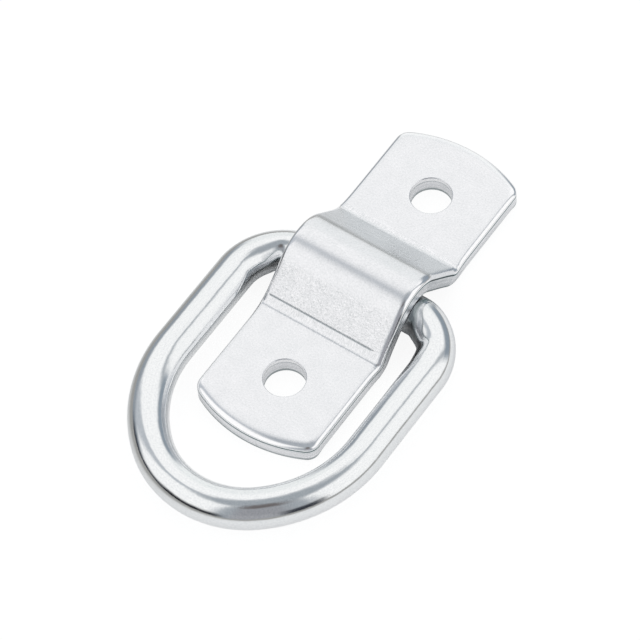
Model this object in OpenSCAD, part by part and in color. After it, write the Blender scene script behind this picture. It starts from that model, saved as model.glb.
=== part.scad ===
// D-ring tie-down: a folded steel strap with two bolt holes, holding a loose D-ring under its hump.
// X runs across the strap, Y along it, Z up. The origin is midway between the two holes, on the underside.

/* [Strap] */
// Width of the flat bar
strap_w = 27.5; // [25:0.5:29]
// Thickness of the flat bar
strap_t = 4; // [3:0.25:5]
// Radius rolled on the bar's four long edges
mill_edge_r = 0.9; // [0.3:0.1:1.3]
// Distance from each hole's centre to the strap's end
end_margin = 13.8; // [12:0.2:18]
// Radius of the arched ends, in plan
end_arch_r = 28; // [20:1:40]
// Radius of the four corners, in plan
end_corner_r = 2.8; // [2:0.2:7]

/* [Bolt holes] */
// Distance between the two holes' centres
hole_pitch = 50; // [46:1:60]
// Diameter of each hole
hole_d = 8.3; // [6:0.1:10]

/* [Hump] */
// Angle of the hump's two slopes above the flat
slope_deg = 44; // [38:1:50]
// Inside radius of the bend where each slope meets the flat
foot_bend_r = 1.5; // [1:0.25:3]
// Play all round the ring's bar inside the hump
bar_play = 0.9; // [0.5:0.1:1.5]

/* [Ring] */
// Diameter of the ring's wire
wire_d = 8; // [7:0.25:9]
// Gap on each side between the strap and the ring's legs
leg_gap = 4.25; // [3:0.25:6]
// Gap between the strap's end and the inside of the ring's toe
toe_gap = 12.8; // [9:0.2:20]
// Radius of the toe, on the wire's centre line
toe_r = 19; // [16:0.5:20]
// Radius of the flanks that lead from the legs to the toe, on the centre line
flank_r = 26.8; // [24.5:0.1:34]
// Radius of the shoulders at the top of the legs, on the centre line
shoulder_r = 11; // [9:0.25:13]
// Angle that each shoulder turns through before the tighter neck
shoulder_deg = 67; // [55:1:75]
// Radius of the neck bend where the bar begins, on the centre line
neck_r = 5.3; // [5:0.1:7]
// Height of the resting ring above the surface that the strap is bolted to
ring_lift = 0.3; // [0.1:0.1:0.6]
// How far the ring lies to one side of the strap's middle
ring_shift = 0.35; // [0:0.05:1.5]

/* [Hidden] */
$fn = 64;

wire_r = wire_d / 2;
// The bar of the ring turns about this height
pivot_z = wire_r + ring_lift;
hump_in_r = wire_r + bar_play;
strap_l = hole_pitch + 2 * end_margin;

// Each foot bend's centre lies above the flat, its radius away from the slope's outer face
foot_z = strap_t + foot_bend_r;
foot_y = (hump_in_r + foot_z - (foot_z - pivot_z) * cos(slope_deg)) / sin(slope_deg);
slope_l = foot_y * cos(slope_deg) - (foot_z - pivot_z) * sin(slope_deg);

// Plan of an end: the arch's centre, and the corners' centres where arch and side meet
arch_y = strap_l / 2 - end_arch_r;
corner_x = strap_w / 2 - end_corner_r;
corner_y = arch_y + sqrt(pow(end_arch_r - end_corner_r, 2) - pow(corner_x, 2));

// Centre line of the ring, with the middle of its bar at y = 0 and its toe towards -Y
leg_x = strap_w / 2 + leg_gap + wire_r;
toe_y = -(strap_l / 2 + toe_gap + wire_r);
toe_deg = acos((flank_r - leg_x) / (flank_r - toe_r));
leg_foot_y = toe_y + toe_r + (flank_r - toe_r) * sin(toe_deg);
leg_head_y = -neck_r - (shoulder_r - neck_r) * sin(shoulder_deg);
bar_x = leg_x - shoulder_r + (shoulder_r - neck_r) * cos(shoulder_deg);

// Neighbouring lengths would only touch, so every second one is thinner by a hair and runs into both of its neighbours
hair = 0.01;
lap = 0.1;

// Section of the flat bar, its width along Y and its thickness from x = 0 to x = strap_t, less a margin all round
module bar_section(less) {
    side = strap_w / 2 - mill_edge_r;
    translate([mill_edge_r, less - strap_w / 2]) square([strap_t - 2 * mill_edge_r, strap_w - 2 * less]);
    translate([less, -side]) square([strap_t - 2 * less, 2 * side]);
    for (x = [mill_edge_r, strap_t - mill_edge_r], y = [-side, side])
        translate([x, y]) circle(mill_edge_r - less);
}

// A straight length of the bar along +Y, its underside at z = 0
module bar_straight(length) {
    rotate([90, -90, 180]) linear_extrude(length) bar_section(0);
}

// The bar bent about an axis along X, its inner face at radius r, from a0 to a1 above the +Y direction
module bar_bend(r, a0, a1) {
    lap_deg = lap / (r + strap_t) * 180 / PI;
    rotate([90, 0, 90]) rotate(a0 - lap_deg)
        rotate_extrude(angle = a1 - a0 + 2 * lap_deg) translate([r, 0]) bar_section(hair);
}

// Plan of the strap as punched: straight sides, rounded corners and arched ends
module strap_plan() {
    reach = 2 * end_arch_r;
    slant = corner_x / (corner_y - arch_y);
    translate([-strap_w / 2 - hair, -corner_y]) square([strap_w + 2 * hair, 2 * corner_y]);
    for (side = [0, 1]) mirror([0, side]) {
        for (x = [-corner_x, corner_x]) translate([x, corner_y]) circle(end_corner_r + hair);
        translate([0, arch_y]) intersection() {
            circle(end_arch_r + hair);
            polygon([[0, 0], [reach * slant, reach], [-reach * slant, reach]]);
        }
    }
}

// The strap: flat bar folded into a hump, with arched ends and a bolt hole in each flange
module mounting_strap() {
    color("gainsboro") difference() {
        intersection() {
            union() {
                translate([0, 0, pivot_z]) bar_bend(hump_in_r, 90 - slope_deg, 90 + slope_deg);
                for (side = [0, 1]) mirror([0, side, 0]) {
                    translate([0, 0, pivot_z]) rotate([-slope_deg, 0, 0]) translate([0, 0, hump_in_r])
                        bar_straight(slope_l);
                    translate([0, foot_y, foot_z]) bar_bend(foot_bend_r, 270 - slope_deg, 270);
                    translate([0, foot_y, 0]) bar_straight(strap_l / 2 - foot_y + 1);
                }
            }
            translate([0, 0, -1]) linear_extrude(strap_t + pivot_z + hump_in_r + 2) strap_plan();
        }
        for (y = [-hole_pitch / 2, hole_pitch / 2])
            translate([0, y, -1]) cylinder(h = strap_t + 2, d = hole_d);
    }
}

// The wire bent in its plane about the point c, at radius r, from angle a0 to angle a1
module wire_bend(c, r, a0, a1, less = 0) {
    lap_deg = less > 0 ? lap / r * 180 / PI : 0;
    translate(c) rotate(a0 - lap_deg)
        rotate_extrude(angle = a1 - a0 + 2 * lap_deg) translate([r, 0]) circle(wire_r - less);
}

// The ring: one wire bent to a D and closed in its bar, lying flat on the -Y side
module d_ring() {
    color("silver") translate([ring_shift, 0, pivot_z]) {
        translate([-bar_x, 0, 0]) rotate([0, 90, 0]) cylinder(h = 2 * bar_x, r = wire_r);
        for (side = [0, 1]) mirror([side, 0, 0]) {
            wire_bend([bar_x, -neck_r], neck_r, shoulder_deg, 90, hair);
            wire_bend([leg_x - shoulder_r, leg_head_y], shoulder_r, 0, shoulder_deg);
            translate([leg_x, leg_foot_y - lap, 0]) rotate([-90, 0, 0])
                cylinder(h = leg_head_y - leg_foot_y + 2 * lap, r = wire_r - hair);
            wire_bend([leg_x - flank_r, leg_foot_y], flank_r, -toe_deg, 0);
        }
        wire_bend([0, toe_y + toe_r], toe_r, 180 + toe_deg, 360 - toe_deg, hair);
    }
}

mounting_strap();
d_ring();
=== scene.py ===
# D-ring tie-down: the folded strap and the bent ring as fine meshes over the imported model
import math
import bmesh
import bpy
import numpy as np
from mathutils import Matrix, Vector


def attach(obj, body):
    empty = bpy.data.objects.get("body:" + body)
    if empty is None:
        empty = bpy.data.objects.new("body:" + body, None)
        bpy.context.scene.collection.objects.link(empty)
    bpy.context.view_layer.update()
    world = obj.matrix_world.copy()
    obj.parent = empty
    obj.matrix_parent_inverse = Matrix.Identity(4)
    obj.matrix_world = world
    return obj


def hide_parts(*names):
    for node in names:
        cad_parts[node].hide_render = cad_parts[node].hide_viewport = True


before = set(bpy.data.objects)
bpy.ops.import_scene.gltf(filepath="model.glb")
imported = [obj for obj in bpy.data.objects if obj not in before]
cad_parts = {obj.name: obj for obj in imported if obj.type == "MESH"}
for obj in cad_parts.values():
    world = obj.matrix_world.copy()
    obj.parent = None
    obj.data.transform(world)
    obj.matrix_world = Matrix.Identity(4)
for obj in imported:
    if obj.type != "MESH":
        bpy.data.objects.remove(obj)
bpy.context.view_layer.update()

mm = 0.001  # a millimetre in metres


# Colour and node helpers

def linear(hexColour):
    # sRGB hex to linear RGBA: c / 12.92 near black, ((c + 0.055) / 1.055) ^ 2.4 above
    channels = [int(hexColour[i:i + 2], 16) / 255 for i in (1, 3, 5)]
    return [c / 12.92 if c <= 0.04045 else ((c + 0.055) / 1.055) ** 2.4 for c in channels] + [1.0]


def addNode(tree, kind, inputs=(), **settings):
    # Adds one shader node with its settings. Each input, in order or by number or name, is linked where
    # it is given a socket and set where it is given a value. Gives the node's outputs.
    node = tree.nodes.new("ShaderNode" + kind)
    for key, value in settings.items():
        setattr(node, key, value)
    for key, value in inputs.items() if isinstance(inputs, dict) else enumerate(inputs):
        if isinstance(value, bpy.types.NodeSocket):
            tree.links.new(value, node.inputs[key])
        else:
            node.inputs[key].default_value = value
    return node.outputs


def between(tree, value, start, full, last, end):
    # 0 up to start, 1 from full to last and 0 from end on: a smooth rise times a smooth fall
    rise = addNode(tree, "MapRange", {"Value": value, "From Min": start, "From Max": full},
                   interpolation_type="SMOOTHSTEP")[0]
    fall = addNode(tree, "MapRange", {"Value": value, "From Min": end, "From Max": last},
                   interpolation_type="SMOOTHSTEP")[0]
    return addNode(tree, "Math", (rise, fall), operation="MULTIPLY")[0]


def newMaterial(name):
    # An empty material and its node tree
    material = bpy.data.materials.new(name)
    material.use_nodes = True
    material.node_tree.nodes.clear()
    return material, material.node_tree


# Mesh helpers

def gridFaces(rows, columns, start=0, closeRows=False, closeColumns=False, flip=False):
    # Quads of a rows by columns grid whose points are numbered row by row, wrapping round where asked
    i = np.arange(rows if closeRows else rows - 1)[:, None]
    j = np.arange(columns if closeColumns else columns - 1)[None, :]
    nextI, nextJ = (i + 1) % rows, (j + 1) % columns
    corners = [i * columns + j, nextI * columns + j, nextI * columns + nextJ, i * columns + nextJ]
    quads = np.stack(corners, -1)
    quads = quads.reshape(-1, 4) + start
    return quads[:, ::-1] if flip else quads


def meshObject(name, points, quads, weld=0.0, attributes=None):
    # Puts whole arrays of points (in mm) and quads into a mesh, with a vector at each point for every
    # attribute, and closes seams by merging equal points
    mesh = bpy.data.meshes.new(name)
    mesh.vertices.add(len(points))
    mesh.vertices.foreach_set("co", (np.asarray(points) * mm).ravel())
    mesh.loops.add(4 * len(quads))
    mesh.loops.foreach_set("vertex_index", np.asarray(quads).ravel())
    mesh.polygons.add(len(quads))
    mesh.polygons.foreach_set("loop_start", np.arange(len(quads)) * 4)
    mesh.update(calc_edges=True)
    mesh.validate()
    for key, vectors in (attributes or {}).items():
        layer = mesh.attributes.new(key, "FLOAT_VECTOR", "POINT")
        layer.data.foreach_set("vector", np.asarray(vectors, dtype=np.float32).ravel())
    work = bmesh.new()
    work.from_mesh(mesh)
    if weld:
        bmesh.ops.remove_doubles(work, verts=work.verts, dist=weld * mm)
    bmesh.ops.recalc_face_normals(work, faces=work.faces)
    work.to_mesh(mesh)
    work.free()
    mesh.polygons.foreach_set("use_smooth", np.ones(len(mesh.polygons), bool))
    piece = bpy.data.objects.new(name, mesh)
    bpy.context.scene.collection.objects.link(piece)
    return piece


def smoothStep(a, b, x):
    # 0 below a, 1 above b, and 3t^2 - 2t^3 between
    t = np.clip((x - a) / (b - a), 0, 1)
    return t * t * (3 - 2 * t)


def ridge(x, centre, width):
    # A soft bump of height 1 at the centre: exp(-((x - centre) / width)^2)
    return np.exp(-((x - centre) / width) ** 2)


# The strap, sizes in mm as in the part's source

strap = {
    "width": 27.5, "thickness": 4.0, "endMargin": 13.8, "holePitch": 50.0, "holeDiameter": 8.3,
    "endArchRadius": 28.0, "endCornerRadius": 2.8, "slopeDegrees": 44.0, "footBendRadius": 1.5,
    "pivotHeight": 4.3, "humpInsideRadius": 4.9,
    # How far in from the edge the top starts to fall, how deep it falls, and the lower edge's radius:
    # along the sides, where the bar was rolled, and at the ends, where the punch pulled the edge down
    "sideRoll": (1.45, 0.85, 0.9), "endRoll": (2.3, 0.88, 0.25),
    "rollChange": (7.0, 3.5),  # how far before the tip one roll starts to turn into the other, and has
    "holeTopRoll": 0.22, "holeUnderRoll": 0.12,
    # How far the bar swells sideways where a foot bend squeezes its upper face, how far along that
    # reaches, and the share of it that its underside has
    "footBulge": 0.32, "bulgeReach": 2.6, "bulgeUnder": 0.35,
    # How far its outer face draws in over the crest, and how much of the crest's half length that takes
    "crestPinch": 0.12, "pinchReach": 0.9,
    # Line that the folding tool left: its depth, its height above the foot bend and its width, where it
    # ends on the left and right, and how fast it fades there
    "creaseDepth": 0.2, "creaseHeight": 1.35, "creaseWidth": 0.13,
    "creaseLeft": -12.7, "creaseRight": 11.2, "creaseFade": (0.5, 0.8),
    "pressedFrom": 0.6,  # share of the thickness above which the line is pressed in
    "skin": 0.015,  # keeps the fine mesh just inside the solid that it stands for
    "splitBefore": 8.0,  # how far before each hole the middle grid ends and the spokes round it begin
    "acrossSteps": 60, "alongStep": 0.3, "creaseStep": 0.04, "creaseSpan": 0.4, "outlineSteps": 150,
    "spokeSteps": 26, "edgeSteps": 11, "weld": 0.004,
}

slope = math.radians(strap["slopeDegrees"])
halfThick = strap["thickness"] / 2
crestRadius = strap["humpInsideRadius"] + halfThick
footHeight = strap["thickness"] + strap["footBendRadius"]
footY = (strap["humpInsideRadius"] + footHeight
         - (footHeight - strap["pivotHeight"]) * math.cos(slope)) / math.sin(slope)
slopeLength = footY * math.cos(slope) - (footHeight - strap["pivotHeight"]) * math.sin(slope)
footRadius = strap["footBendRadius"] + halfThick
crestEnd = crestRadius * slope
slopeEnd = crestEnd + slopeLength
footEnd = slopeEnd + footRadius * slope
halfLength = strap["holePitch"] / 2 + strap["endMargin"]
tip = footEnd + halfLength - footY  # half the strap's length, measured along its folded middle line
holeAt = footEnd + strap["holePitch"] / 2 - footY
creaseAt = slopeEnd - strap["creaseHeight"]
splitAt = holeAt - strap["splitBefore"]


def foldStrap(x, s, h):
    # Folds the flat plate: s runs along its middle line, h up from its underside. Over the crest and
    # round the feet a point turns about the bend's centre, between them it moves straight.
    side, q, e = np.where(s < 0, -1.0, 1.0), np.abs(s), h - halfThick
    turn = np.minimum(q, crestEnd) / crestRadius
    crestY = (crestRadius + e) * np.sin(turn)
    crestZ = strap["pivotHeight"] + (crestRadius + e) * np.cos(turn)
    down = q - crestEnd
    slopeY = (crestRadius + e) * math.sin(slope) + down * math.cos(slope)
    slopeZ = strap["pivotHeight"] + (crestRadius + e) * math.cos(slope) - down * math.sin(slope)
    left = slope - (q - slopeEnd) / footRadius
    bendY = footY - (footRadius - e) * np.sin(left)
    bendZ = footHeight - (footRadius - e) * np.cos(left)
    flatY = footY + q - footEnd
    where = [q <= crestEnd, q <= slopeEnd, q <= footEnd]
    y = np.select(where, [crestY, slopeY, bendY], flatY)
    z = np.select(where, [crestZ, slopeZ, bendZ], h)
    return np.stack([x, side * y, z], -1)


def strapPoint(x, s, h):
    # Presses the tool's marks into the flat plate, then folds it. The sides swell at the feet in
    # proportion to the height, and draw in over the crest; the crease is a narrow groove in the top.
    q = np.abs(s)
    up = h / strap["thickness"]
    foot = ridge(q, (slopeEnd + footEnd) / 2, strap["bulgeReach"])
    foot *= strap["bulgeUnder"] + (1 - strap["bulgeUnder"]) * up
    crest = ridge(q, 0, crestEnd * strap["pinchReach"]) * up
    wide = 1 + (strap["footBulge"] * foot - strap["crestPinch"] * crest) / (strap["width"] / 2)
    crease = ridge(s, -creaseAt, strap["creaseWidth"])
    fadeLeft, fadeRight = strap["creaseFade"]
    crease *= smoothStep(strap["creaseLeft"], strap["creaseLeft"] + fadeLeft, x)
    crease *= smoothStep(strap["creaseRight"], strap["creaseRight"] - fadeRight, x)
    sink = strap["creaseDepth"] * crease + strap["skin"]
    return foldStrap(x * wide, s, h - sink * smoothStep(strap["pressedFrom"], 1.0, up))


def endOutline(count):
    # The plate's outline round one end, from its side at s = splitAt over the arch to the other side:
    # straight, corner arc, arch, corner arc, straight, by equal steps of length, with an arc's point at
    # its centre + radius (cosine, sine) of the angle. Gives points and outward normals.
    w, rc, ra = strap["width"] / 2, strap["endCornerRadius"], strap["endArchRadius"]
    archS = tip - ra
    cornerX = w - rc
    cornerS = archS + math.sqrt((ra - rc) ** 2 - cornerX ** 2)
    meet = math.atan2(cornerS - archS, cornerX)
    straight, corner, arch = cornerS - splitAt, rc * meet, ra * (math.pi - 2 * meet)
    lengths = np.array([straight, corner, arch, corner, straight])
    at = np.linspace(0, lengths.sum(), count)
    ends = np.cumsum(lengths)
    a1 = (at - ends[0]) / rc
    a2 = meet + (at - ends[1]) / ra
    a3 = math.pi - meet + (at - ends[2]) / rc
    where = [at <= ends[0], at <= ends[1], at <= ends[2], at <= ends[3]]
    angle = np.select(where, [0 * at, a1, a2, a3], math.pi + 0 * at)
    x = np.select(where, [w + 0 * at, cornerX + rc * np.cos(a1), ra * np.cos(a2),
                          -cornerX + rc * np.cos(a3)], -w)
    s = np.select(where, [splitAt + at, cornerS + rc * np.sin(a1), archS + ra * np.sin(a2),
                          cornerS + rc * np.sin(a3)], cornerS - (at - ends[3]))
    return np.stack([x, s], -1), np.stack([np.cos(angle), np.sin(angle)], -1)


def edgeRoll(s):
    # How wide and deep the plate's top rolls over and the lower edge's radius, at each place s: a smooth
    # mix of the sides' and the ends' values
    start, full = strap["rollChange"]
    end = smoothStep(tip - start, tip - full, np.abs(s))
    return [a * (1 - end) + b * end for a, b in zip(strap["sideRoll"], strap["endRoll"])]


def edgeLadder(wide, deep, under, steps):
    # From the top face down the edge to the underside: a quarter of an ellipse, the wall, a quarter
    # round. Gives how far in from the outline and how high each step lies, one row per step.
    a = np.linspace(0, math.pi / 2, steps)[:, None]
    t = strap["thickness"]
    inset = np.concatenate([wide * (1 - np.sin(a)), under * (1 - np.cos(a))])
    height = np.concatenate([t - deep * (1 - np.cos(a)), under * (1 - np.sin(a))])
    return inset, height


def buildStrap():
    # The plate in patches: a middle grid on both faces with an edge ladder along each side, and for each
    # end an edge ladder, two faces of straight spokes from outline to hole, and the hole's wall
    t = strap["thickness"]
    outline, normal = endOutline(strap["outlineSteps"])
    across = np.linspace(-1, 1, strap["acrossSteps"] + 1)
    points, flats, quads, total = [], [], [], 0

    def add(x, s, h, **how):
        # One patch of the plate: folds it, and keeps where its points lay on the flat bar
        nonlocal total
        flat = np.stack(np.broadcast_arrays(x, s, h), -1)
        rows, columns = flat.shape[:2]
        points.append(strapPoint(flat[..., 0], flat[..., 1], flat[..., 2]).reshape(-1, 3))
        flats.append(flat.reshape(-1, 3))
        quads.append(gridFaces(rows, columns, total, **how))
        total += rows * columns

    # Middle of the top and underside: straight across, and along the folded path
    s = np.linspace(-splitAt, splitAt, int(2 * splitAt / strap["alongStep"]) + 1)
    span, step = strap["creaseSpan"], strap["creaseStep"]
    fine = np.arange(-creaseAt - span, -creaseAt + span, step)
    s = np.sort(np.concatenate([s[np.abs(s + creaseAt) > span + step / 2], fine]))[:, None] + 0 * across
    wide, _, under = edgeRoll(s)
    halfWidth = strap["width"] / 2
    add(across * (halfWidth - wide), s, t)
    add(across * (halfWidth - under), s, 0.0, flip=True)
    for side in (-1, 1):
        # Long edges of the middle
        inset, height = edgeLadder(*edgeRoll(s[:, 0]), strap["edgeSteps"])
        add(side * (halfWidth - inset), s[:, 0], height, flip=side > 0)
        # Edge round this end
        wide, deep, under = edgeRoll(outline[:, 1])
        inset, height = edgeLadder(wide, deep, under, strap["edgeSteps"])
        add(outline[:, 0] - inset * normal[:, 0], side * (outline[:, 1] - inset * normal[:, 1]), height,
            flip=side > 0)
        whole = np.concatenate([outline, np.stack([across * halfWidth, splitAt + 0 * across], -1)[1:-1]])
        angle = np.arctan2(whole[:, 1] - holeAt, whole[:, 0])
        # Faces round the hole: spokes from the inset outline and the split line to the hole's rim
        for radius, h, roll in ((wide, t, strap["holeTopRoll"]), (under, 0.0, strap["holeUnderRoll"])):
            edge = outline - radius[:, None] * normal
            line = np.stack([across * (halfWidth - radius[0]), splitAt + 0 * across], -1)[1:-1]
            loop = np.concatenate([edge, line])
            rimRadius = strap["holeDiameter"] / 2 + roll
            rim = np.stack([rimRadius * np.cos(angle), holeAt + rimRadius * np.sin(angle)], -1)
            share = np.linspace(0, 1, strap["spokeSteps"])[:, None, None]
            spokes = loop * (1 - share) + rim * share
            add(spokes[..., 0], side * spokes[..., 1], h, closeColumns=True)
        # Wall of the hole, drawn in at the top where the punch entered
        a = np.linspace(0, math.pi / 2, strap["edgeSteps"])[:, None]
        top, foot, bore = strap["holeTopRoll"], strap["holeUnderRoll"], strap["holeDiameter"] / 2
        wallRadius = np.concatenate([bore + top * (1 - np.sin(a)), bore + foot * (1 - np.cos(a))])
        wallHeight = np.concatenate([t - top * (1 - np.cos(a)), foot * (1 - np.sin(a))])
        add(wallRadius * np.cos(angle), side * (holeAt + wallRadius * np.sin(angle)), wallHeight,
            closeColumns=True)
    return meshObject("foldedStrap", np.concatenate(points), np.concatenate(quads), weld=strap["weld"],
                      attributes={"flatBar": np.concatenate(flats)})


# The ring, sizes in mm as in the part's source

ring = {
    "wireDiameter": 8.0, "legGap": 4.25, "toeGap": 12.8, "toeRadius": 19.0, "flankRadius": 26.8,
    "shoulderRadius": 11.0, "shoulderDegrees": 67.0, "neckRadius": 5.3, "shift": 0.35,
    # Each corner's inside runs straight to a tight turn, so the wire is thinner there by cornerFlat, over
    # cornerReach both ways along the wire, with the turn's tip rounded by cornerRound
    "cornerFlat": 0.8, "cornerReach": 5.3, "cornerRound": 1.2,
    "cornerPlace": (0.15, 0.48),  # where on the left and right shoulder's bend, as a share of its length
    "cornerSide": (-0.3, 0.9),  # cosine from the wire's inner side where the thinning starts, and is full
    "skin": 0.012,  # keeps the fine mesh just inside the solid that it stands for
    "pathSteps": 20000, "alongSteps": 1000, "roundSteps": 80,
}


def ringPath(count):
    # Centre line by equal steps of length: each piece is a straight or an arc, so the heading changes
    # at a constant rate 1 / radius along it, and the position is the running sum of the heading.
    wire = ring["wireDiameter"] / 2
    legX = strap["width"] / 2 + ring["legGap"] + wire
    toeY = -(halfLength + ring["toeGap"] + wire)
    toeTurn = math.acos((ring["flankRadius"] - legX) / (ring["flankRadius"] - ring["toeRadius"]))
    legFoot = toeY + ring["toeRadius"] + (ring["flankRadius"] - ring["toeRadius"]) * math.sin(toeTurn)
    turn = math.radians(ring["shoulderDegrees"])
    spare = ring["shoulderRadius"] - ring["neckRadius"]
    legHead = -ring["neckRadius"] - spare * math.sin(turn)
    barX = legX - ring["shoulderRadius"] + spare * math.cos(turn)
    # Half the loop from the middle of the bar (heading +X) clockwise to the toe
    pieces = [(barX, 0), (ring["neckRadius"] * (math.pi / 2 - turn), 1 / ring["neckRadius"]),
              (ring["shoulderRadius"] * turn, 1 / ring["shoulderRadius"]), (legHead - legFoot, 0),
              (ring["flankRadius"] * toeTurn, 1 / ring["flankRadius"]),
              (ring["toeRadius"] * (math.pi / 2 - toeTurn), 1 / ring["toeRadius"])]
    lengths = np.array([p[0] for p in pieces])
    bends = np.array([p[1] for p in pieces])
    ends = np.cumsum(lengths)
    half = ends[-1]
    fine = np.linspace(0, half, ring["pathSteps"] + 1)
    middle = (fine[1:] + fine[:-1]) / 2
    bend = bends[np.minimum(np.searchsorted(ends, middle), len(bends) - 1)]
    step = fine[1] - fine[0]
    heading = np.concatenate([[0], -np.cumsum(bend) * step])
    halfway = (heading[1:] + heading[:-1]) / 2
    x = np.concatenate([[0], np.cumsum(np.cos(halfway)) * step])
    y = np.concatenate([[0], np.cumsum(np.sin(halfway)) * step])
    along = np.arange(count) / count * 2 * half
    way = np.where(along <= half, along, 2 * half - along)
    side = np.where(along <= half, 1.0, -1.0)
    px = side * np.interp(way, fine, x)
    py = np.interp(way, fine, y)
    turned = np.interp(way, fine, heading)
    return px, py, np.cos(turned), np.sin(turned) * side, way, ends


def buildRing():
    # A round section carried along the centre line: point = path + r (inward cos v + up sin v). On its
    # inner side r is less by cornerFlat (1 - distance from the corner / reach)^2.
    wire = ring["wireDiameter"] / 2 - ring["skin"]
    px, py, hx, hy, way, ends = ringPath(ring["alongSteps"])
    v = np.arange(ring["roundSteps"]) / ring["roundSteps"] * 2 * math.pi
    inX, inY = hy[:, None], -hx[:, None]
    share = np.where(px < 0, *ring["cornerPlace"])
    away = np.hypot(way - ends[1] - share * (ends[2] - ends[1]), ring["cornerRound"])
    corner = np.clip(1 - away / ring["cornerReach"], 0, 1)[:, None] ** 2
    facing = smoothStep(*ring["cornerSide"], np.cos(v))[None, :]
    radius = wire - ring["cornerFlat"] * corner * facing
    out = radius * np.cos(v)
    x = ring["shift"] + px[:, None] + inX * out
    y = py[:, None] + inY * out
    z = strap["pivotHeight"] + radius * np.sin(v)
    points = np.stack([x, y, z + 0 * x], -1).reshape(-1, 3)
    quads = gridFaces(len(px), len(v), closeRows=True, closeColumns=True)
    # Where a point lies on the straight wire, with both ends of the pattern meeting: distance along it
    # as it is, and the place round it as a point on its circle
    wirePlace = np.stack(np.broadcast_arrays(way[:, None], wire * np.cos(v), wire * np.sin(v)), -1)
    return meshObject("bentRing", points, quads, attributes={"straightWire": wirePlace.reshape(-1, 3)})


# Materials

satin = {
    # Colour and roughness at tone 0 and at tone 1, whether tones past those are cut off, the plain
    # face's tone, and the height in mm of a mark whose depth is 1
    "colours": ("#cdd1d3", "#fafafc"), "roughness": (0.32, 0.2), "clamp": False, "tone": 0.76,
    "markHeight": 0.012,
    # Each mark is a noise: what it is laid on, the size in mm of its grains (across, along and up the
    # flat bar), detail, distortion, depth, share in the tone, and the bands of the bar that it covers.
    # The crystals of real plating are finer than grit and are drawn coarser so that they show.
    "marks": {
        "grit": ("space", (0.36, 0.36, 0.36), 3.0, 0.0, 0.4, 0.7, []),
        "cloud": ("space", (2.88, 2.88, 2.88), 3.0, 0.0, 0.0, 0.26, []),
        "crinkle": ("metal", (0.39, 0.3, 0.3), 3.0, 1.2, 2.2, 1.6,
                    [("along", -creaseAt - 0.8, -creaseAt + 0.8, -crestEnd - 0.8, -crestEnd + 0.8)]),
        "nearHatch": ("metal", (0.22, 1.1, 2.0), 2.0, 0.5, 2.0, 1.2,
                      [("along", -footEnd - 0.35, -footEnd - 0.05, -creaseAt - 0.15, -creaseAt + 0.15)]),
        "farStreaks": ("metal", (9.0, 0.25, 2.0), 3.0, 0.0, 1.2, 0.8,
                       [("along", 0.7 * crestEnd - 0.3, 0.7 * crestEnd + 0.3,
                         footEnd + 0.7, footEnd + 1.3)]),
        "layers": ("metal", (16.0, 16.0, 0.5), 2.0, 0.0, 6.0, 1.6, [("up", 0.05, 0.4, 2.6, 3.5)]),
        "farHatch": ("metal", (0.22, 1.1, 2.0), 2.0, 0.5, 2.0, 1.4,
                     [("along", slopeEnd, slopeEnd + 0.4, footEnd + 0.5, footEnd + 0.9)]),
    },
    # What a band adds to the tone: the rubbed far slope, a painted contact shadow along the lower edge,
    # a painted highlight on the roll that the barrel polished, a painted dark reflection line where the
    # roll meets the wall, fainter in the holes, and painted shade in the crease
    "bands": {
        "rubbedSlope": (-0.42, [("along", 0.72 * crestEnd - 0.3, 0.72 * crestEnd + 0.3,
                                 slopeEnd - 0.1, slopeEnd + 0.5)]),
        # Painted contact shadow: the lower edge's colour is darkened where the floor's shadow would fall
        "paintedContactShadow": (-1.3, [("up", 0.0, 0.1, 0.55, 0.95)]),
        # Lighter colour on the top roll is a painted highlight; its lower roughness is the real polish
        "polishAndHighlight": (0.35, [("up", 3.0, 3.2, 3.8, 3.96)]),
        # Painted reflection: a thin dark line where the roll meets the wall, lifted to be fainter in the
        # holes
        "paintedDarkReflection": (-2.3, [("up", 2.72, 2.87, 3.05, 3.2)]),
        "paintedLineFainterInHoles": (1.61, [("up", 2.72, 2.87, 3.05, 3.2), ("across", -9.0, -7.0, 7.0, 9.0),
                            ("along", -holeAt - 8.0, -holeAt - 6.0, holeAt + 6.0, holeAt + 8.0)]),
        # Painted shade in the crease: the colour is darkened along the pressed-in line
        "crease": (-1.2, [("along", -creaseAt - 0.22, -creaseAt + 0.02,
                           -creaseAt - 0.02, -creaseAt + 0.22),
                          ("across", strap["creaseLeft"], strap["creaseLeft"] + 0.4,
                           strap["creaseRight"] - 0.8, strap["creaseRight"])]),
    },
    "polish": 0.09,  # how much less rough the polished roll is
}

bright = {
    "colours": ("#d2d6da", "#fafbfb"), "roughness": (0.2, 0.1), "clamp": True, "tone": 0.78,
    "markHeight": 0.06,
    # Lines of the drawing die, drawn coarser so that they show, crystals, and waves from the bending:
    # sizes along, into and up the straight wire
    "marks": {
        "drawnLines": ("metal", (18.0, 0.3, 0.3), 3.0, 0.0, 0.03, 0.3, []),
        "grit": ("metal", (0.3, 0.3, 0.3), 2.0, 0.0, 0.06, 0.8, []),
        "waves": ("metal", (3.84, 2.4, 2.4), 2.0, 0.0, 0.6, 0.0, []),
    },
}


def coverOf(tree, place, bands):
    # 1 where all the bands along the bar's directions meet: the product of the bands
    cover = 1.0
    for direction, *reach in bands:
        band = between(tree, place[direction], *reach)
        cover = addNode(tree, "Math", (cover, band), operation="MULTIPLY")[0]
    return cover


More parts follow.
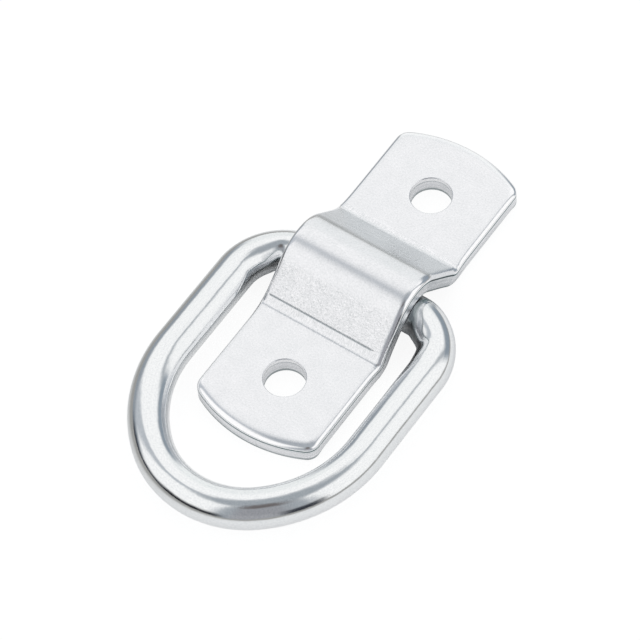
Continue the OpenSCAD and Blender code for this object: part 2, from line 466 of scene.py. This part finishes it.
def layMarks(tree, finish, ground, place):
    # Height = sum of noise x cover x depth. Tone = plain tone + sum of (noise - 1/2) x cover x share.
    height, tone = 0.0, finish["tone"]
    for on, grain, detail, distortion, depth, share, bands in finish["marks"].values():
        grains = addNode(tree, "VectorMath", (ground[on], grain), operation="DIVIDE")[0]
        noise = addNode(tree, "TexNoise", {"Vector": grains, "Scale": 1.0, "Detail": detail,
                        "Distortion": distortion})["Fac"]
        cover = coverOf(tree, place, bands)
        deep = addNode(tree, "Math", (cover, depth), operation="MULTIPLY")[0]
        height = addNode(tree, "Math", (noise, deep, height), operation="MULTIPLY_ADD")[0]
        centred = addNode(tree, "Math", (noise, 0.5), operation="SUBTRACT")[0]
        shade = addNode(tree, "Math", (cover, share), operation="MULTIPLY")[0]
        tone = addNode(tree, "Math", (centred, shade, tone), operation="MULTIPLY_ADD")[0]
    return height, tone


def finishMetal(tree, finish, height, tone, polish=None):
    # Bare metal: its colour and roughness follow the tone, polish makes it less rough, and the marks'
    # height is its bump
    dull, pale = (linear(colour) for colour in finish["colours"])
    matt, shiny = finish["roughness"]
    tint = addNode(tree, "Mix", {0: tone, 6: dull, 7: pale}, data_type="RGBA",
                   clamp_factor=finish["clamp"])[2]
    rough = addNode(tree, "MapRange", {"Value": tone, "To Min": matt, "To Max": shiny})[0]
    if polish:
        rough = addNode(tree, "Math", (polish, -finish["polish"], rough), operation="MULTIPLY_ADD")[0]
    bump = addNode(tree, "Bump", {"Strength": 1.0, "Distance": finish["markHeight"] * mm, "Height": height})
    shader = addNode(tree, "BsdfPrincipled", {"Metallic": 1.0, "Base Color": tint, "Roughness": rough,
                     "Normal": bump["Normal"]})
    addNode(tree, "OutputMaterial", {"Surface": shader["BSDF"]})


def satinZinc():
    # Barrel-plated zinc on rolled and pressed bar: a pale satin metal with fine crystals, crinkled on the
    # slope that the tool pressed, hatched below its crease and streaked along the far slope and bend
    material, tree = newMaterial("barrelPlatedZincSatin")
    flatBar = addNode(tree, "Attribute", attribute_name="flatBar")["Vector"]
    place = dict(zip(("across", "along", "up"), addNode(tree, "SeparateXYZ", (flatBar,))))
    space = addNode(tree, "TexCoord")["Object"]
    space = addNode(tree, "VectorMath", {0: space, "Scale": 1 / mm}, operation="SCALE")[0]
    height, tone = layMarks(tree, satin, {"space": space, "metal": flatBar}, place)
    # The bands paint shade, a highlight and a reflection into the tone
    for share, bands in satin["bands"].values():
        cover = coverOf(tree, place, bands)
        tone = addNode(tree, "Math", (cover, share, tone), operation="MULTIPLY_ADD")[0]
    finishMetal(tree, satin, height, tone, coverOf(tree, place, satin["bands"]["polishAndHighlight"][1]))
    return material


def brightZinc():
    # Bright zinc on drawn wire: a clear shine with faint lines along the wire and the slow waves of
    # its bending, which break up the edges of what it mirrors
    material, tree = newMaterial("brightZincOnDrawnWire")
    straightWire = addNode(tree, "Attribute", attribute_name="straightWire")["Vector"]
    height, tone = layMarks(tree, bright, {"metal": straightWire}, {})
    finishMetal(tree, bright, height, tone)
    return material


strapPiece = buildStrap()
strapPiece.data.materials.append(satinZinc())
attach(strapPiece, "strap")
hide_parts("mounting_strap")
print("strap:", len(strapPiece.data.polygons), "faces")

ringPiece = buildRing()
ringPiece.data.materials.append(brightZinc())
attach(ringPiece, "ring")
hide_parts("d_ring")
print("ring:", len(ringPiece.data.polygons), "faces")


# Studio

studio = {
    "floorSize": 3000.0, "floorWhite": "#ffffff", "falloffGrey": "#aeadaa",
    # Strength of the floor's own glow, and its share of what the camera and what metal see of the floor
    "glow": 1.09, "whiteShare": 0.83, "glossShare": 0.35,
    # Ellipses on the floor, from the middle of the object: x of their middle, half widths along X and Y,
    # and at how many half widths a change starts and ends. Outside the first, metal sees a painted
    # falloff of light turn the paper grey. Inside the second, a painted shade under the hump dims the glow.
    "falloffEllipse": (14.0, 32.0, 60.0, 1.1, 2.0), "shade": (0.0, 30.0, 15.0, 0.5, 1.4),
    "roomColour": "#a4aab0", "roomWhite": "#ffffff", "cardSoftness": 7.0,
    # What hangs round the object, each painted over the ones before it: the azimuth of its middle
    # from -Y towards +X, its half width, its lowest and highest elevation, all in degrees, its colour
    "cards": {
        "backBox": (210.0, 57.0, 22.0, 74.0, "#ffffff"),
        "backSweep": (214.0, 24.0, -6.0, 40.0, "#f4f6f6"),
        "leftGap": (275.0, 14.0, 14.0, 73.0, "#bcc1c7"),
        "leftBox": (324.0, 40.0, 4.0, 70.0, "#ffffff"),
        "rightBox": (107.0, 34.0, -1.0, 62.0, "#ffffff"),
        "leftHorizon": (264.0, 30.0, -16.0, 18.0, "#969da5"),
        "backRight": (164.0, 24.0, -16.0, 27.0, "#8f99a3"),
        "cameraTop": (40.0, 20.0, 57.0, 80.0, "#6d6868"),
        "cameraSide": (37.0, 17.0, 8.0, 57.0, "#9a9ba0"),
        "frontLeft": (308.0, 29.0, -9.0, 10.0, "#222934"),
        "frontDark": (346.0, 23.0, -12.0, 15.0, "#12161e"),
        "frontRight": (62.0, 12.0, -7.0, 20.0, "#33363e"),
        "frontMiddle": (34.0, 16.0, -12.0, 20.0, "#a3a4a9"),
    },
}


def sine(degrees):
    # Sine of an angle in degrees, and below it the cosine
    return math.sin(math.radians(degrees))


def cosine(degrees):
    return math.cos(math.radians(degrees))


def buildWorld():
    # A grey room with soft boxes and dark cards round the object, and plain white for the camera. A card
    # covers a direction by (cosine to its azimuth above that of its half width) times (sine of the
    # elevation between those of its ends).
    world = bpy.data.worlds.new("paleRoom")
    bpy.context.scene.world = world
    world.use_nodes = True
    tree = world.node_tree
    tree.nodes.clear()
    direction = addNode(tree, "TexCoord")["Generated"]
    height = addNode(tree, "SeparateXYZ", (direction,))["Z"]
    level = addNode(tree, "VectorMath", (direction, (1, 1, 0)), operation="MULTIPLY")[0]
    level = addNode(tree, "VectorMath", (level,), operation="NORMALIZE")[0]
    soft = studio["cardSoftness"]
    colour = linear(studio["roomColour"])
    for azimuth, reach, low, high, shade in studio["cards"].values():
        aim = addNode(tree, "VectorMath", (level, (sine(azimuth), -cosine(azimuth), 0)),
                      operation="DOT_PRODUCT")["Value"]
        across = addNode(tree, "MapRange", {"Value": aim, "From Min": cosine(reach + soft),
                         "From Max": cosine(reach - soft)}, interpolation_type="SMOOTHSTEP")[0]
        upward = between(tree, height, sine(low - soft), sine(low + soft),
                         sine(high - soft), sine(high + soft))
        cover = addNode(tree, "Math", (across, upward), operation="MULTIPLY")[0]
        colour = addNode(tree, "Mix", {0: cover, 6: colour, 7: linear(shade)}, data_type="RGBA")[2]
    room = addNode(tree, "Background", {"Color": colour})[0]
    white = addNode(tree, "Background", {"Color": linear(studio["roomWhite"])})[0]
    ray = addNode(tree, "LightPath")
    seen = addNode(tree, "Math", (ray["Is Camera Ray"], ray["Is Transmission Ray"]), operation="MAXIMUM")[0]
    both = addNode(tree, "MixShader", (seen, room, white))[0]
    addNode(tree, "OutputWorld", {"Surface": both})


def outside(tree, place, middleX, halfX, halfY, start, end):
    # A smooth rise with the distance from an ellipse's middle, counted in its half widths:
    # ((x - middle) / halfX, y / halfY) has this length
    scaled = addNode(tree, "VectorMath", (place, (1 / (halfX * mm), 1 / (halfY * mm), 0),
                     (-middleX / halfX, 0, 0)), operation="MULTIPLY_ADD")[0]
    away = addNode(tree, "VectorMath", (scaled,), operation="LENGTH")["Value"]
    return addNode(tree, "MapRange", {"Value": away, "From Min": start, "From Max": end},
                   interpolation_type="SMOOTHSTEP")[0]


def buildFloor():
    # White paper that keeps the object's shadow. Its glow brings it up to the white background for the
    # camera and for metal; away from the object, metal sees a painted falloff of light turn it grey.
    size = studio["floorSize"] / 2
    corners = [(-size, -size, 0), (size, -size, 0), (size, size, 0), (-size, size, 0)]
    floor = meshObject("paleFloor", np.array(corners), np.array([[0, 1, 2, 3]]))
    material, tree = newMaterial("paleFloorPaper")
    place = addNode(tree, "TexCoord")["Object"]
    ray = addNode(tree, "LightPath")
    hidden = addNode(tree, "Math", (1.0, ray["Is Camera Ray"]), operation="SUBTRACT")[0]
    # Painted falloff of light: away from the object, what metal and bounced light see of the paper turns
    # grey
    paintedFalloff = addNode(tree, "Math", (outside(tree, place, *studio["falloffEllipse"]), hidden), operation="MULTIPLY")[0]
    paper = addNode(tree, "Mix", {0: paintedFalloff, 6: linear(studio["floorWhite"]), 7: linear(studio["falloffGrey"])},
                    data_type="RGBA")[2]
    matt = addNode(tree, "BsdfDiffuse", {"Color": paper})[0]
    glow = addNode(tree, "Emission", {"Color": paper, "Strength": studio["glow"]})[0]
    gloss = addNode(tree, "Math", (ray["Is Glossy Ray"], studio["glossShare"]), operation="MULTIPLY")[0]
    # Painted shade: under the hump the glow that metal sees is dimmed
    gloss = addNode(tree, "Math", (gloss, outside(tree, place, *studio["shade"])), operation="MULTIPLY")[0]
    seen = addNode(tree, "Math", (ray["Is Camera Ray"], ray["Is Transmission Ray"]), operation="MAXIMUM")[0]
    shown = addNode(tree, "Math", (seen, studio["whiteShare"], gloss), operation="MULTIPLY_ADD")[0]
    both = addNode(tree, "MixShader", (shown, matt, glow))[0]
    addNode(tree, "OutputMaterial", {"Surface": both})
    floor.data.materials.append(material)


buildWorld()
buildFloor()
print("studio:", len(studio["cards"]), "cards in the room, and the floor")


# Camera, fitted to the outlines in the photograph

camera = {
    "azimuth": 38.93, "elevation": 56.69, "roll": -5.15, "distance": 733.4,
    "targetX": -3.4, "targetY": -8.57, "lens": 214.5, "sensor": 36.0,
    "nearest": 0.01, "furthest": 20.0,  # m, what it can see
}


def buildCamera():
    # Back points from the target to the camera; right is level, and both turn by the roll
    a, e, roll = (math.radians(camera[k]) for k in ("azimuth", "elevation", "roll"))
    back = Vector((math.sin(a) * math.cos(e), -math.cos(a) * math.cos(e), math.sin(e)))
    level = Vector((math.cos(a), math.sin(a), 0))
    up = back.cross(level)
    right = math.cos(roll) * level + math.sin(roll) * up
    top = -math.sin(roll) * level + math.cos(roll) * up
    place = Vector((camera["targetX"], camera["targetY"], 0)) + back * camera["distance"]
    data = bpy.data.cameras.new("photoCamera")
    data.lens, data.sensor_width = camera["lens"], camera["sensor"]
    data.clip_start, data.clip_end = camera["nearest"], camera["furthest"]
    eye = bpy.data.objects.new("photoCamera", data)
    eye.matrix_world = Matrix((
        (right.x, top.x, back.x, place.x * mm), (right.y, top.y, back.y, place.y * mm),
        (right.z, top.z, back.z, place.z * mm), (0, 0, 0, 1)))
    bpy.context.scene.collection.objects.link(eye)
    bpy.context.scene.camera = eye


buildCamera()
print("camera:", camera["distance"], "mm from the object")
bpy.context.scene.view_settings.view_transform = "Standard"
